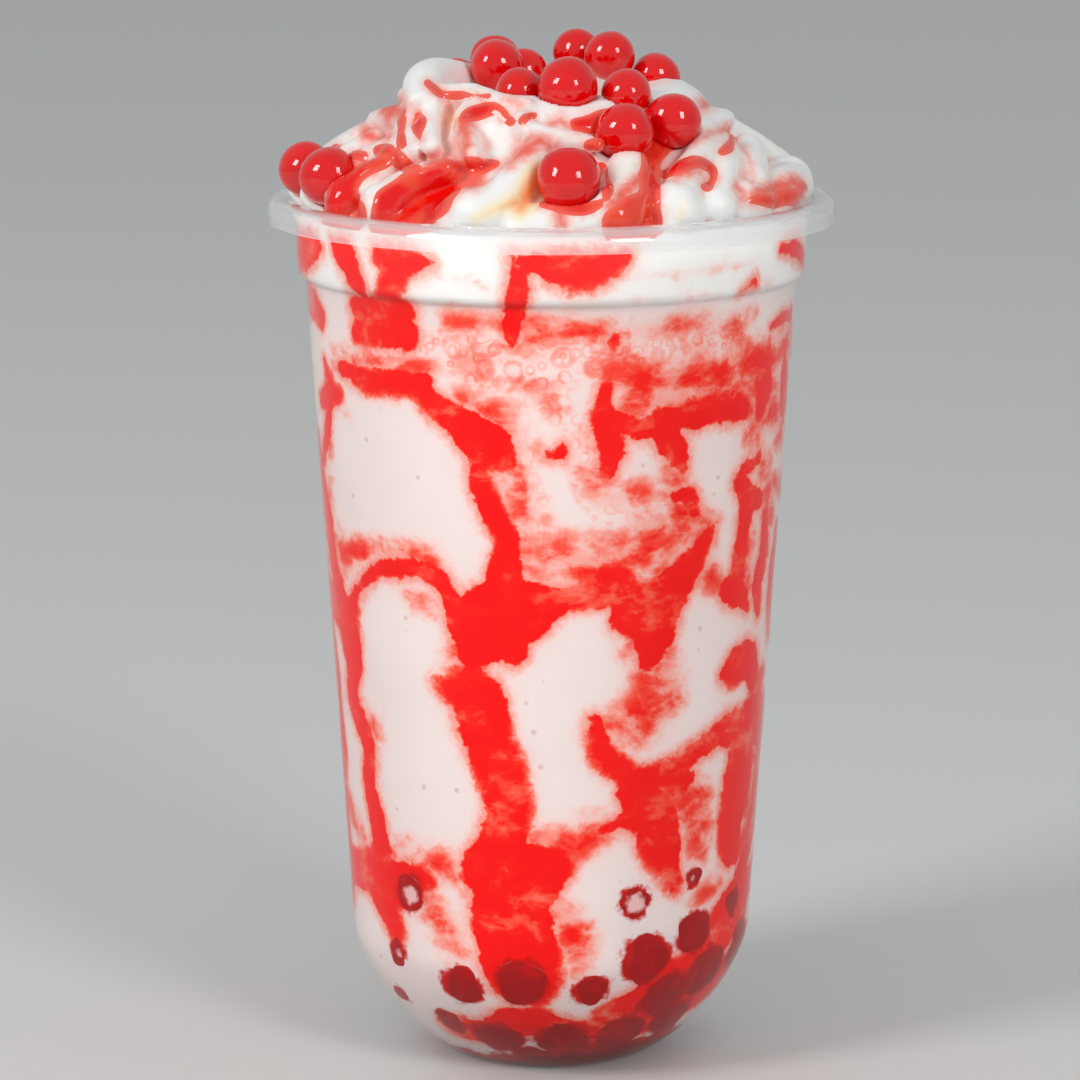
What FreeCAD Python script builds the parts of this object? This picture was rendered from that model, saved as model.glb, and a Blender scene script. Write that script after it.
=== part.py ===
"""Strawberry smoothie in its U-shaped plastic cup, with whipped cream and popping pearls.

Millimetres, +Z up, the origin at the middle of the cup's flat base. -Y is the front.
Each piece is one solid in its own file in parts/.
"""

import FreeCAD, Part
import math
import os

UP = FreeCAD.Vector(0, 0, 1)
ORIGIN = FreeCAD.Vector(0, 0, 0)

# The cup, outside.
BASE_RADIUS = 14.8          # flat spot that the cup stands on
KNEE_RADIUS = 32.0          # where the round bottom meets the straight side
KNEE_HEIGHT = 20.9
ROUNDNESS = 1.45            # power of the bottom's curve: 1 is a cone, 2 an ellipse
SHOULDER_RADIUS = 38.95     # top of the straight side, under the stacking ledge
SHOULDER_HEIGHT = 126.0
LEDGE_WIDTH = 1.25          # the ledge steps out by this much to the collar
LEDGE_RISE = 1.2            # and slopes up over this height
COLLAR_HEIGHT = 8.0         # from the top of the ledge to the rim's skirt
COLLAR_FLARE = 0.3          # the collar opens by this much towards the rim
RIM_WIDTH = 4.5             # the rim stands out this far beyond the collar
RIM_HEIGHT = 3.8            # from the skirt's lower edge to the crest
SKIRT_HEIGHT = 1.3          # upright part of the rim's outer face
CREST_INSET = 2.4           # the rim is highest this far in from its outer face
WALL = 0.7
FLOOR = 1.0
CURVE_STEPS = 9             # points that carry the bottom's curve

# What fills it.
CREAM_DEPTH = 11.5          # cream below the brim, down to about the ledge
BRIM_DROP = 1.2             # the brim, where the wall opens into the rim, below the crest

# The side of the piped swirl: (distance in from the cup's wall, rise above the brim).
SWIRL_SIDE = [
    (0.8, 0.0),
    (-0.5, 2.2),
    (0.2, 4.2),
    (3.2, 6.6),
    (7.4, 9.4),
    (11.0, 11.4),
    (13.0, 13.4),
    (15.8, 15.8),
    (20.4, 17.8),
    (28.8, 18.8),
]
SWIRL_EASE = 3              # levels over which the ridges grow in and fade out
SWIRL_EASE_START = 0.5      # so that they are already there at the first and last level
RIDGES = 14                 # ridges that the star nozzle leaves round the swirl
RIDGE_DEPTH = 2.4
RIDGE_TURN = 4.2            # degrees that a ridge winds for each mm it rises
TAIL_RADIUS = 5.2           # rounded end of the piped rope, on top at the left
TAIL_INSET = 22.8
TAIL_TURN = 166.4
TAIL_RISE = 22.1            # top of the tail above the brim

# Popping pearls on top: (size against PEARL_DIAMETER, degrees round from +X, distance from the
# axis as a share of the cup's inner radius, how deep it presses into the cream).
PEARL_DIAMETER = 9.0
PEARLS = [
    (1.11, -86, 0.902, 4.3),
    (1.04, -66, 0.689, 3.9),
    (0.99, -45, 0.664, 3.5),
    (0.90, -54, 0.492, 4.0),
    (1.08, -82, 0.447, 3.2),
    (0.89, -112, 0.330, 4.2),
    (0.96, 167, 0.222, 2.0),
    (0.89, 150, 0.437, 4.2),
    (0.87, 114, 0.281, 3.3),
    (0.91, 116, 0.519, 0.8),
    (0.89, 18, 0.436, 3.0),
    (0.91, 20, 0.246, 0.3),
    (0.89, 74, 0.372, 0.3),
    (1.06, -155, 0.955, 4.5),
    (0.98, -169, 0.985, 3.0),
]
PEARL_GAP = 0.1             # clearance round a pearl

QUARTER_PULL = 0.5523       # handle length that makes a quarter turn round
COLLAR_RADIUS = SHOULDER_RADIUS + LEDGE_WIDTH
THROAT_RADIUS = COLLAR_RADIUS + COLLAR_FLARE - WALL
RIM_RADIUS = COLLAR_RADIUS + COLLAR_FLARE + RIM_WIDTH
CREST_RADIUS = RIM_RADIUS - CREST_INSET
CREST_HEIGHT = SHOULDER_HEIGHT + LEDGE_RISE + COLLAR_HEIGHT + RIM_HEIGHT
BRIM_HEIGHT = CREST_HEIGHT - BRIM_DROP


def point(radius, height):
    """A point of a profile, in the plane that is spun round the cup's axis."""
    return FreeCAD.Vector(radius, 0, height)


def line(start, end):
    return Part.LineSegment(start, end).toShape()


def spin(edges):
    """The solid that a closed profile sweeps round the axis."""
    face = Part.Face(Part.Wire(edges))
    return face.revolve(ORIGIN, UP, 360)


def bottom_curve(inset, floor):
    """The rounded bottom, from the knee down to the flat, inset by a wall."""
    wide = KNEE_RADIUS - inset - BASE_RADIUS
    deep = KNEE_HEIGHT - floor
    points = []
    for step in range(CURVE_STEPS):
        angle = math.pi / 2 * step / (CURVE_STEPS - 1)
        across = abs(math.cos(angle)) ** (2 / ROUNDNESS)
        down = math.sin(angle) ** (2 / ROUNDNESS)
        points.append(point(BASE_RADIUS + wide * across, KNEE_HEIGHT - deep * down))
    curve = Part.BSplineCurve()
    curve.interpolate(points)
    return curve.toShape()


def collar_points(inset):
    """Corners of the side, the ledge and the collar, inset by a wall."""
    ledge_top = SHOULDER_HEIGHT + LEDGE_RISE
    collar_top = ledge_top + COLLAR_HEIGHT
    return [
        point(KNEE_RADIUS - inset, KNEE_HEIGHT),
        point(SHOULDER_RADIUS - inset, SHOULDER_HEIGHT),
        point(COLLAR_RADIUS - inset, ledge_top),
        point(COLLAR_RADIUS + COLLAR_FLARE - inset, collar_top),
    ]


def quarter(upright, level):
    """A rounded quarter turn that leaves one end upright and reaches the other level."""
    rise = QUARTER_PULL * (level.z - upright.z)
    run = QUARTER_PULL * (upright.x - level.x)
    curve = Part.BezierCurve()
    curve.setPoles([upright, upright + point(0, rise), level + point(run, 0), level])
    return curve.toShape()


def rim_face(inset, foot):
    """The rim's rounded face, from above the collar over the crest to the skirt's foot."""
    collar_top = collar_points(WALL - inset)[-1]
    throat = point(collar_top.x, BRIM_HEIGHT - inset)
    top = point(CREST_RADIUS, CREST_HEIGHT - inset)
    skirt_top = point(RIM_RADIUS - inset, foot + SKIRT_HEIGHT)
    return [
        line(collar_top, throat),
        quarter(throat, top),
        quarter(skirt_top, top),
        line(skirt_top, point(RIM_RADIUS - inset, foot)),
    ]


def make_cup():
    """The whole cup: round bottom, straight side, ledge, collar and hollow rim."""
    outer = collar_points(0)
    inner = collar_points(WALL)
    foot = outer[-1].z
    edges = [line(point(0, 0), point(BASE_RADIUS, 0)), bottom_curve(0, 0)]
    edges += [line(a, b) for a, b in zip(outer, outer[1:])]
    edges += rim_face(0, foot)
    edges.append(line(point(RIM_RADIUS - WALL, foot), point(RIM_RADIUS, foot)))
    edges += rim_face(WALL, foot)
    edges += [line(a, b) for a, b in zip(inner, inner[1:])]
    edges += [bottom_curve(WALL, FLOOR), line(point(0, FLOOR), point(BASE_RADIUS, FLOOR))]
    edges.append(line(point(0, 0), point(0, FLOOR)))
    return spin(Part.__sortEdges__(edges))


def make_hollow():
    """All the room inside the cup, up to the brim."""
    inner = collar_points(WALL)
    brim = point(inner[-1].x, BRIM_HEIGHT)
    edges = [line(point(0, FLOOR), point(BASE_RADIUS, FLOOR)), bottom_curve(WALL, FLOOR)]
    edges += [line(a, b) for a, b in zip(inner, inner[1:])]
    edges += [line(inner[-1], brim), line(brim, point(0, BRIM_HEIGHT))]
    edges.append(line(point(0, BRIM_HEIGHT), point(0, FLOOR)))
    return spin(Part.__sortEdges__(edges))


def slab(low, high):
    """A disc wider than the cup between two heights, to cut its filling with."""
    return Part.makeCylinder(RIM_RADIUS, high - low, FreeCAD.Vector(0, 0, low), UP)


def ridge_outline(radius, rise, depth):
    """One level of the swirl: an arc for each ridge, meeting in grooves, turned as the rope winds."""
    height = BRIM_HEIGHT + rise
    half = math.pi / RIDGES
    edges = []

    def place(reach, angle):
        turned = angle + math.radians(RIDGE_TURN) * rise
        return FreeCAD.Vector(reach * math.cos(turned), reach * math.sin(turned), height)

    for ridge in range(RIDGES):
        middle = 2 * half * ridge
        groove = radius - depth
        ends = place(groove, middle - half), place(groove, middle + half)
        edges.append(Part.Arc(ends[0], place(radius, middle), ends[1]).toShape())
    return Part.Wire(edges)


def make_swirl():
    """The piped dome above the brim, with the rope's end on top."""
    outlines = []
    last = len(SWIRL_SIDE) - 1
    for level, (inset, rise) in enumerate(SWIRL_SIDE):
        ease = min(level + SWIRL_EASE_START, last - level + SWIRL_EASE_START, SWIRL_EASE)
        depth = RIDGE_DEPTH * ease / SWIRL_EASE
        outlines.append(ridge_outline(THROAT_RADIUS - inset, rise, depth))
    dome = Part.makeLoft(outlines, True, False)
    reach = THROAT_RADIUS - TAIL_INSET
    turn = math.radians(TAIL_TURN)
    height = BRIM_HEIGHT + TAIL_RISE - TAIL_RADIUS
    centre = FreeCAD.Vector(reach * math.cos(turn), reach * math.sin(turn), height)
    return dome.fuse(Part.makeSphere(TAIL_RADIUS, centre))


def cream_level(reach):
    """Height of the swirl's surface at a distance from the axis."""
    inset = THROAT_RADIUS - reach
    for (outer, low), (inner, high) in zip(SWIRL_SIDE[1:], SWIRL_SIDE[2:]):
        if inset <= inner:
            share = max(0.0, (inset - outer) / (inner - outer))
            return BRIM_HEIGHT + low + (high - low) * share
    return BRIM_HEIGHT + SWIRL_SIDE[-1][1]


def rest_height(radius, away, other_radius, other_height):
    """Height at which a ball rests on a round thing, or none if it passes beside it."""
    clear = radius + other_radius + PEARL_GAP
    if away >= clear:
        return -math.inf
    return other_height + math.sqrt(clear ** 2 - away ** 2)


def seat_pearls():
    """Radius and centre of each pearl, set down in turn on the cream, the rim and its neighbours."""
    seated = []
    for size, degrees, share, sink in PEARLS:
        radius = PEARL_DIAMETER * size / 2
        reach = THROAT_RADIUS * share
        side = reach * math.cos(math.radians(degrees))
        back = reach * math.sin(math.radians(degrees))
        height = cream_level(reach) + radius - sink
        height = max(height, rest_height(radius, abs(CREST_RADIUS - reach), 0, CREST_HEIGHT))
        for other_radius, other in seated:
            away = math.hypot(side - other.x, back - other.y)
            height = max(height, rest_height(radius, away, other_radius, other.z))
        seated.append((radius, FreeCAD.Vector(side, back, height)))
    return seated


def make_cream(hollow, pearls):
    """The cream: its plug in the collar, the swirl, and a pocket in both under each pearl."""
    plug = hollow.common(slab(BRIM_HEIGHT - CREAM_DEPTH, BRIM_HEIGHT))
    swirl = make_swirl()
    for radius, centre in pearls:
        pocket = Part.makeSphere(radius + PEARL_GAP, centre)
        swirl = swirl.cut(pocket)
        if centre.z - radius < BRIM_HEIGHT:
            plug = plug.cut(pocket)
    return plug.fuse(swirl)


def save(name, shape):
    """Write one piece as one solid."""
    solids = shape.Solids
    if len(solids) != 1 or not solids[0].isValid():
        raise ValueError(f"{name} is {len(solids)} solids, or not a valid one")
    solids[0].exportStep(f"parts/{name}.step")
    box = solids[0].BoundBox
    print(f"{name}: {solids[0].Volume / 1000:.2f} ml, z {box.ZMin:.2f} to {box.ZMax:.2f}")


def main():
    os.makedirs("parts", exist_ok=True)
    hollow = make_hollow()
    pearls = seat_pearls()
    save("cup", make_cup())
    save("smoothie", hollow.common(slab(0, BRIM_HEIGHT - CREAM_DEPTH)))
    save("cream", make_cream(hollow, pearls))
    for number, (radius, centre) in enumerate(pearls, start=1):
        save(f"pearl_{number:02d}", Part.makeSphere(radius, centre))


main()
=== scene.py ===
"""Strawberry smoothie in a clear plastic cup: the looks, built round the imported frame.

Metres, +Z up, -Y the front. Places on the wall are given as (degrees round from the front, mm up).
"""

import math
import random

import bmesh
import bpy
import numpy as np
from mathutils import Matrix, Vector


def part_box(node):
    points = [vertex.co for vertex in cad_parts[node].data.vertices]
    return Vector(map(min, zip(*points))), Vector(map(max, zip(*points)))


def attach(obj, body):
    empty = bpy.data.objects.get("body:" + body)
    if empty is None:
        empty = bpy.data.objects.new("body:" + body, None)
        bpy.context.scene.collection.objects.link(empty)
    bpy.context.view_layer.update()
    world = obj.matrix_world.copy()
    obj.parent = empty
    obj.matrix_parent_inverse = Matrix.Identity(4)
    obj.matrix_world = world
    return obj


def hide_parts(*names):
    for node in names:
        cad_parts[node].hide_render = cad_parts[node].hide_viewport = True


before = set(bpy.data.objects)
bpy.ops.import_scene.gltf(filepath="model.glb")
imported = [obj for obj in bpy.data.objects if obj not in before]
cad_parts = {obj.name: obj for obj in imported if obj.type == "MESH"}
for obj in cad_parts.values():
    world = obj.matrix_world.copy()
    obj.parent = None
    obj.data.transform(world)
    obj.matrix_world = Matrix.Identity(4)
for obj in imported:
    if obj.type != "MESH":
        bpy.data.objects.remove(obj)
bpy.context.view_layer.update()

MM = 0.001
ROOT = "root"

# Driving sizes, in millimetres unless named otherwise.
ROUND_STEPS = 256            # steps round the cup
DRINK_STEPS = 280            # steps round the drink
DRINK_EDGE = 0.55            # longest edge of the drink's profile
INTO_WALL = 0.15             # how far the drink and the cream reach into the cup's wall
CREAM_STEPS = 128            # steps round the cream's core
CREAM_VOXEL = 0.55           # grain of the cream's mesh
CREAM_SMOOTHING = 6          # passes that ease the cream's mesh
RIM_WIDTH = 4.4              # how far in from its outside the rim's thicker, milky plastic starts

CUP_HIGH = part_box("cup")[1]
CREST = CUP_HIGH.z / MM      # top of the rim
RIM_START = CUP_HIGH.x / MM - RIM_WIDTH
CREAM_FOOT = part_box("cream")[0].z / MM


# ---------------------------------------------------------------- modelling helpers

def clear_selection():
    if bpy.context.object and bpy.context.object.mode != "OBJECT":
        bpy.ops.object.mode_set(mode="OBJECT")
    bpy.ops.object.select_all(action="DESELECT")


def choose(obj):
    clear_selection()
    obj.select_set(True)
    bpy.context.view_layer.objects.active = obj


def place(obj):
    """Bring a finished piece's turn, size and place into its mesh."""
    choose(obj)
    bpy.ops.object.transform_apply(location=True, rotation=True, scale=True)


def add_modifier(obj, kind, **settings):
    """Add one modifier and apply it."""
    choose(obj)
    modifier = obj.modifiers.new(kind.title(), kind)
    for key, value in settings.items():
        setattr(modifier, key, value)
    bpy.ops.object.modifier_apply(modifier=modifier.name)


def join(name, objects):
    choose(objects[0])
    for obj in objects[1:]:
        obj.select_set(True)
    if len(objects) > 1:
        bpy.ops.object.join()
    obj = bpy.context.object
    obj.name = name
    obj.data.name = name
    return obj


def smooth(obj, angle=None):
    choose(obj)
    if angle is None:
        bpy.ops.object.shade_smooth()
    else:
        bpy.ops.object.shade_smooth_by_angle(angle=math.radians(angle))


def read_vectors(mesh, key):
    values = np.empty(len(mesh.vertices) * 3)
    mesh.vertices.foreach_get(key, values)
    return values.reshape(-1, 3)


def get_points(mesh):
    """A mesh's points, in mm."""
    return read_vectors(mesh, "co") / MM


def set_points(mesh, co):
    mesh.vertices.foreach_set("co", (co * MM).ravel())
    mesh.update()


def set_attribute(mesh, name, values):
    attribute = mesh.attributes.new(name, "FLOAT", "POINT")
    attribute.data.foreach_set("value", np.asarray(values, dtype=np.float32))


def finish_piece(obj, material, slot, *nodes):
    """Material, body and the CAD nodes that a finished piece stands for; the slot is not used."""
    obj.data.materials.clear()
    obj.data.materials.append(material)
    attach(obj, ROOT)
    if nodes:
        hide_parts(*nodes)


# ---------------------------------------------------------------- the cup's own profile

def section(node, name):
    """A wire copy of a turned CAD node: its profile on the +X side, out from the axis and back."""
    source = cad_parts[node]
    obj = bpy.data.objects.new(name, source.data.copy())
    obj.data.name = name
    bpy.context.scene.collection.objects.link(obj)
    mesh = bmesh.new()
    mesh.from_mesh(obj.data)
    bmesh.ops.remove_doubles(mesh, verts=mesh.verts, dist=0.002 * MM)
    away = [v for v in mesh.verts if abs(v.co.y) > 0.001 * MM or v.co.x < -0.001 * MM]
    bmesh.ops.delete(mesh, geom=away, context="VERTS")
    bmesh.ops.delete(mesh, geom=list(mesh.faces), context="FACES_ONLY")
    for end in [v for v in mesh.verts if len(v.link_edges) == 1]:
        mesh.edges.new((end, mesh.verts.new((0, 0, end.co.z))))
    mesh.to_mesh(obj.data)
    mesh.free()
    return obj


def split_edges(obj, finest):
    """Cut each profile edge so that none is longer than the finest size."""
    mesh = bmesh.from_edit_mesh(obj.data)
    for edge in list(mesh.edges):
        cuts = math.ceil(edge.calc_length() / (finest * MM)) - 1
        if cuts > 0:
            bmesh.ops.subdivide_edges(mesh, edges=[edge], cuts=cuts)
    bmesh.update_edit_mesh(obj.data)


def spin_round(steps):
    """Spin the profile in edit mode round the axis, close its poles and turn its faces outwards."""
    bpy.ops.mesh.select_all(action="SELECT")
    bpy.ops.mesh.spin(steps=steps, angle=2 * math.pi, center=(0, 0, 0), axis=(0, 0, 1))
    bpy.ops.mesh.select_all(action="SELECT")
    bpy.ops.mesh.remove_doubles(threshold=0.01 * MM)
    bpy.ops.mesh.normals_make_consistent(inside=False)
    bpy.ops.object.mode_set(mode="OBJECT")


def turned(node, name, steps, finest=None):
    """A smooth piece spun from a CAD node's own profile."""
    obj = section(node, name)
    choose(obj)
    bpy.ops.object.mode_set(mode="EDIT")
    if finest:
        split_edges(obj, finest)
    spin_round(steps)
    return obj


def inner_wall():
    """Heights and radii of the cup's inside, in mm: the drink's own side, then the cream's."""
    rows = []
    for node in ("smoothie", "cream"):
        obj = section(node, "wall_profile")
        co = get_points(obj.data)
        bpy.data.objects.remove(obj)
        side = co[co[:, 0] > 1]
        rows.append(side[np.argsort(side[:, 2])][:, [2, 0]])
    return np.concatenate(rows)


WALL = inner_wall()


def wall_radius(height):
    return np.interp(height, WALL[:, 0], WALL[:, 1])


# ---------------------------------------------------------------- shader helpers

def srgb(red, green, blue):
    """A colour written in 0-255 steps, as linear values with alpha."""
    def linear(value):
        value /= 255
        return value / 12.92 if value <= 0.04045 else ((value + 0.055) / 1.055) ** 2.4
    return (linear(red), linear(green), linear(blue), 1)


class Nodes:
    """A material's or group's node tree, with short calls to add to it."""

    def __init__(self, tree):
        self.tree = tree

    def add(self, kind, **inputs):
        node = self.tree.nodes.new(kind)
        for key, value in inputs.items():
            self.feed(node, key, value)
        return node

    def feed(self, node, key, value):
        """Set or link one input, given by its title or, as in i2, by its number."""
        if key[0] == "i" and key[1:].isdigit():
            socket = node.inputs[int(key[1:])]
        else:
            socket = node.inputs[key.replace("_", " ")]
        if isinstance(value, bpy.types.NodeSocket):
            self.tree.links.new(value, socket)
        else:
            socket.default_value = value

    def math(self, operation, a, b=0.0, c=0.0, clamp=False):
        node = self.add("ShaderNodeMath", i0=a, i1=b, i2=c)
        node.operation = operation
        node.use_clamp = clamp
        return node.outputs[0]

    def plus(self, a, b):
        return self.math("ADD", a, b)

    def minus(self, a, b):
        return self.math("SUBTRACT", a, b)

    def times(self, a, b):
        return self.math("MULTIPLY", a, b)

    def centred(self, value, reach):
        """A noise from 0 to 1, spread evenly about 0."""
        return self.times(self.minus(value, 0.5), reach)

    def step(self, value, low, high):
        """0 below the low value, 1 above the high one, smooth between."""
        node = self.add("ShaderNodeMapRange")
        node.interpolation_type = "SMOOTHSTEP"
        self.feed(node, "Value", value)
        node.inputs["From Min"].default_value = low
        node.inputs["From Max"].default_value = high
        return node.outputs["Result"]

    def mix(self, share, a, b):
        node = self.tree.nodes.new("ShaderNodeMix")
        node.data_type = "RGBA"
        self.feed(node, "i0", share)
        self.feed(node, "i6", a)
        self.feed(node, "i7", b)
        return node.outputs[2]

    def noise(self, where, scale, detail=2.0, rough=0.5, warp=0.0):
        node = self.add("ShaderNodeTexNoise", Vector=where, Scale=scale, Detail=detail)
        node.inputs["Roughness"].default_value = rough
        node.inputs["Distortion"].default_value = warp
        return node.outputs["Fac"]

    def warped(self, where, scale, reach):
        """The same place, pushed about by noise: its pattern swirls."""
        node = self.add("ShaderNodeTexNoise", Vector=where, Scale=scale, Detail=2.0)
        centred = self.add("ShaderNodeVectorMath", i0=node.outputs["Color"], i1=(0.5, 0.5, 0.5))
        centred.operation = "SUBTRACT"
        pushed = self.add("ShaderNodeVectorMath", i0=centred.outputs[0], i1=(reach, reach, reach), i2=where)
        pushed.operation = "MULTIPLY_ADD"
        return pushed.outputs[0]

    def cells(self, where, scale):
        """Distance from the nearest cell middle, as a share of the cell size, and the cell's own number."""
        node = self.add("ShaderNodeTexVoronoi", Vector=where, Scale=scale)
        return node.outputs["Distance"], node.outputs["Color"]

    def ramp(self, value, *stops):
        """Colours along a value, as (place, colour)."""
        node = self.add("ShaderNodeValToRGB", Fac=value)
        elements = node.color_ramp.elements
        while len(elements) < len(stops):
            elements.new(0.5)
        for element, (place_at, colour) in zip(elements, stops):
            element.position = place_at
            element.color = colour
        return node.outputs["Color"]

    def largest(self, *values):
        total = values[0]
        for value in values[1:]:
            total = self.math("MAXIMUM", total, value)
        return total

    def attribute(self, name):
        node = self.tree.nodes.new("ShaderNodeAttribute")
        node.attribute_name = name
        return node.outputs["Fac"]

    def object_place(self, scale=(1, 1, 1)):
        coords = self.tree.nodes.new("ShaderNodeTexCoord").outputs["Object"]
        mapping = self.add("ShaderNodeMapping", Vector=coords)
        mapping.inputs["Scale"].default_value = scale
        return mapping.outputs["Vector"]

    def bump(self, height, strength, distance):
        node = self.add("ShaderNodeBump", Height=height)
        node.inputs["Strength"].default_value = strength
        node.inputs["Distance"].default_value = distance
        return node.outputs["Normal"]


def new_material(name):
    material = bpy.data.materials.new(name)
    material.use_nodes = True
    nodes = Nodes(material.node_tree)
    shader = material.node_tree.nodes["Principled BSDF"]
    return material, nodes, shader


def patterned_material(name, stretch=(1, 1, 1)):
    """A new material and the place on its piece that its patterns read."""
    material, nodes, shader = new_material(name)
    return material, nodes, shader, nodes.object_place(stretch)


def set_shader(shader, **values):
    for key, value in values.items():
        shader.inputs[key.replace("_", " ")].default_value = value


# ---------------------------------------------------------------- syrup on the wall

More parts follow.
